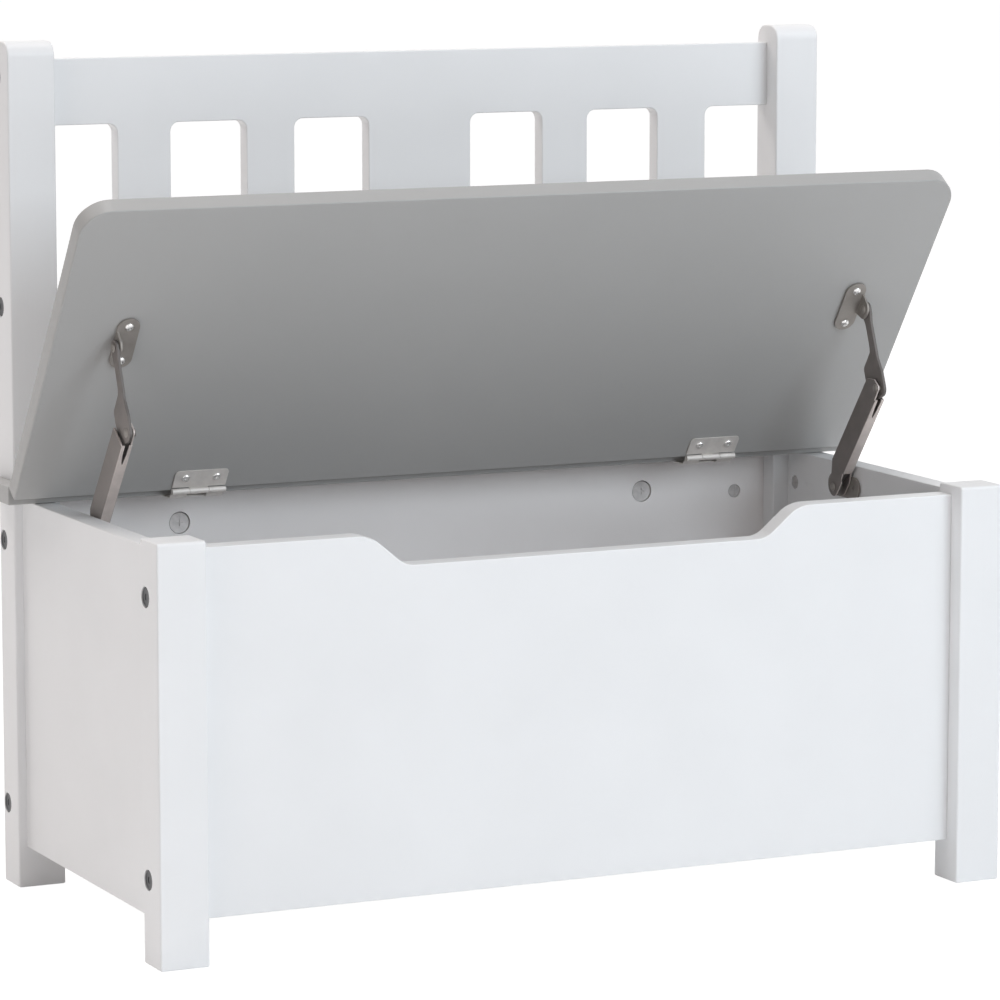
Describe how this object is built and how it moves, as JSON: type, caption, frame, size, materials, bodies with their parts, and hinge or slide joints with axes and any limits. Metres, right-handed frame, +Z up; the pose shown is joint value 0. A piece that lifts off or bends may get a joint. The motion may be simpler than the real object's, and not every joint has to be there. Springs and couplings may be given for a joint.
{
  "type": "storage bench",
  "caption": "Low bench with a storage box under a hinged seat lid, a slotted backrest between tall rear posts, and folding stays that hold the lid open.",
  "frame": {"origin": "on the floor, midway between the legs across and from the front of the legs to the back of the posts", "axes": "+X to the bench's right as seen from the front, +Y to the back, +Z up; the lid is open at rest"},
  "size_m": [0.615, 0.28, 0.55],
  "materials": {
    "white_wood": "solid wood under satin white paint",
    "white_board": "fibreboard under satin white paint",
    "grey_board": "fibreboard under satin mid-grey paint",
    "bolt_steel": "dark grey plated steel, hex-socket heads",
    "zinc_steel": "dull zinc-plated steel",
    "hinge_steel": "satin nickel-plated steel strip",
    "stay_steel": "satin nickel-plated pressed steel"
  },
  "bodies": {
    "box": {"rear_post_left": "white_wood", "front_leg_left": "white_wood", "side_panel_left": "white_board", "rear_post_right": "white_wood", "front_leg_right": "white_wood", "side_panel_right": "white_board", "front_panel": "white_board", "back_panel": "white_board", "bottom_panel": "white_board", "backrest_panel": "white_board", "seat_rear_strip": "grey_board", "bolt_left_front_upper": "bolt_steel", "bolt_left_front_lower": "bolt_steel", "bolt_left_rear_upper": "bolt_steel", "bolt_left_rear_lower": "bolt_steel", "bolt_left_rail_upper": "bolt_steel", "bolt_left_rail_lower": "bolt_steel", "bolt_right_front_upper": "bolt_steel", "bolt_right_front_lower": "bolt_steel", "bolt_right_rear_upper": "bolt_steel", "bolt_right_rear_lower": "bolt_steel", "bolt_right_rail_upper": "bolt_steel", "bolt_right_rail_lower": "bolt_steel", "barrel_nut_left_front_upper": "zinc_steel", "barrel_nut_left_front_lower": "zinc_steel", "barrel_nut_left_rear_upper": "zinc_steel", "barrel_nut_left_rear_lower": "zinc_steel", "barrel_nut_left_rail_upper": "zinc_steel", "barrel_nut_left_rail_lower": "zinc_steel", "barrel_nut_right_front_upper": "zinc_steel", "barrel_nut_right_front_lower": "zinc_steel", "barrel_nut_right_rear_upper": "zinc_steel", "barrel_nut_right_rear_lower": "zinc_steel", "barrel_nut_right_rail_upper": "zinc_steel", "barrel_nut_right_rail_lower": "zinc_steel", "cam_lock_left": "zinc_steel", "cam_bolt_left": "zinc_steel", "cam_lock_right": "zinc_steel", "cam_bolt_right": "zinc_steel", "hinge_left_fixed_leaf": "hinge_steel", "hinge_left_pin": "hinge_steel", "hinge_right_fixed_leaf": "hinge_steel", "hinge_right_pin": "hinge_steel", "stay_left_base": "stay_steel", "stay_left_base_rivet": "stay_steel", "stay_right_base": "stay_steel", "stay_right_base_rivet": "stay_steel"},
    "lid": {"seat_lid": "grey_board", "hinge_left_lid_leaf": "hinge_steel", "hinge_right_lid_leaf": "hinge_steel", "stay_left_bracket": "stay_steel", "stay_right_bracket": "stay_steel"},
    "channel_left": {"stay_left_channel": "stay_steel"},
    "arm_left": {"stay_left_arm": "stay_steel", "stay_left_elbow_rivet": "stay_steel", "stay_left_top_rivet": "stay_steel"},
    "channel_right": {"stay_right_channel": "stay_steel"},
    "arm_right": {"stay_right_arm": "stay_steel", "stay_right_elbow_rivet": "stay_steel", "stay_right_top_rivet": "stay_steel"}
  },
  "joints": [
    {"name": "lid_hinge", "type": "hinge", "parent": "box", "child": "lid", "pos_m": [0, 0.0743, 0.26], "axis": [-1, 0, 0], "range_deg": [-55.2, 0]},
    {"name": "stay_left_channel_pivot", "type": "hinge", "parent": "box", "child": "channel_left", "pos_m": [-0.2686, 0.031, 0.2405], "axis": [-1, 0, 0], "range_deg": [-78.53, 0]},
    {"name": "stay_left_elbow", "type": "hinge", "parent": "channel_left", "child": "arm_left", "pos_m": [-0.2686, -0.02501, 0.31399], "axis": [-1, 0, 0], "range_deg": [0, 51.86]},
    {"name": "stay_right_channel_pivot", "type": "hinge", "parent": "box", "child": "channel_right", "pos_m": [0.2686, 0.031, 0.2405], "axis": [-1, 0, 0], "range_deg": [-78.53, 0]},
    {"name": "stay_right_elbow", "type": "hinge", "parent": "channel_right", "child": "arm_right", "pos_m": [0.2686, -0.02501, 0.31399], "axis": [-1, 0, 0], "range_deg": [0, 51.86]}
  ],
  "couplings": [
    {"joint": "stay_left_channel_pivot", "follows": "lid_hinge", "ratio": 1.4225},
    {"joint": "stay_left_elbow", "follows": "lid_hinge", "ratio": -0.93943},
    {"joint": "stay_right_channel_pivot", "follows": "lid_hinge", "ratio": 1.4225},
    {"joint": "stay_right_elbow", "follows": "lid_hinge", "ratio": -0.93943}
  ]
}
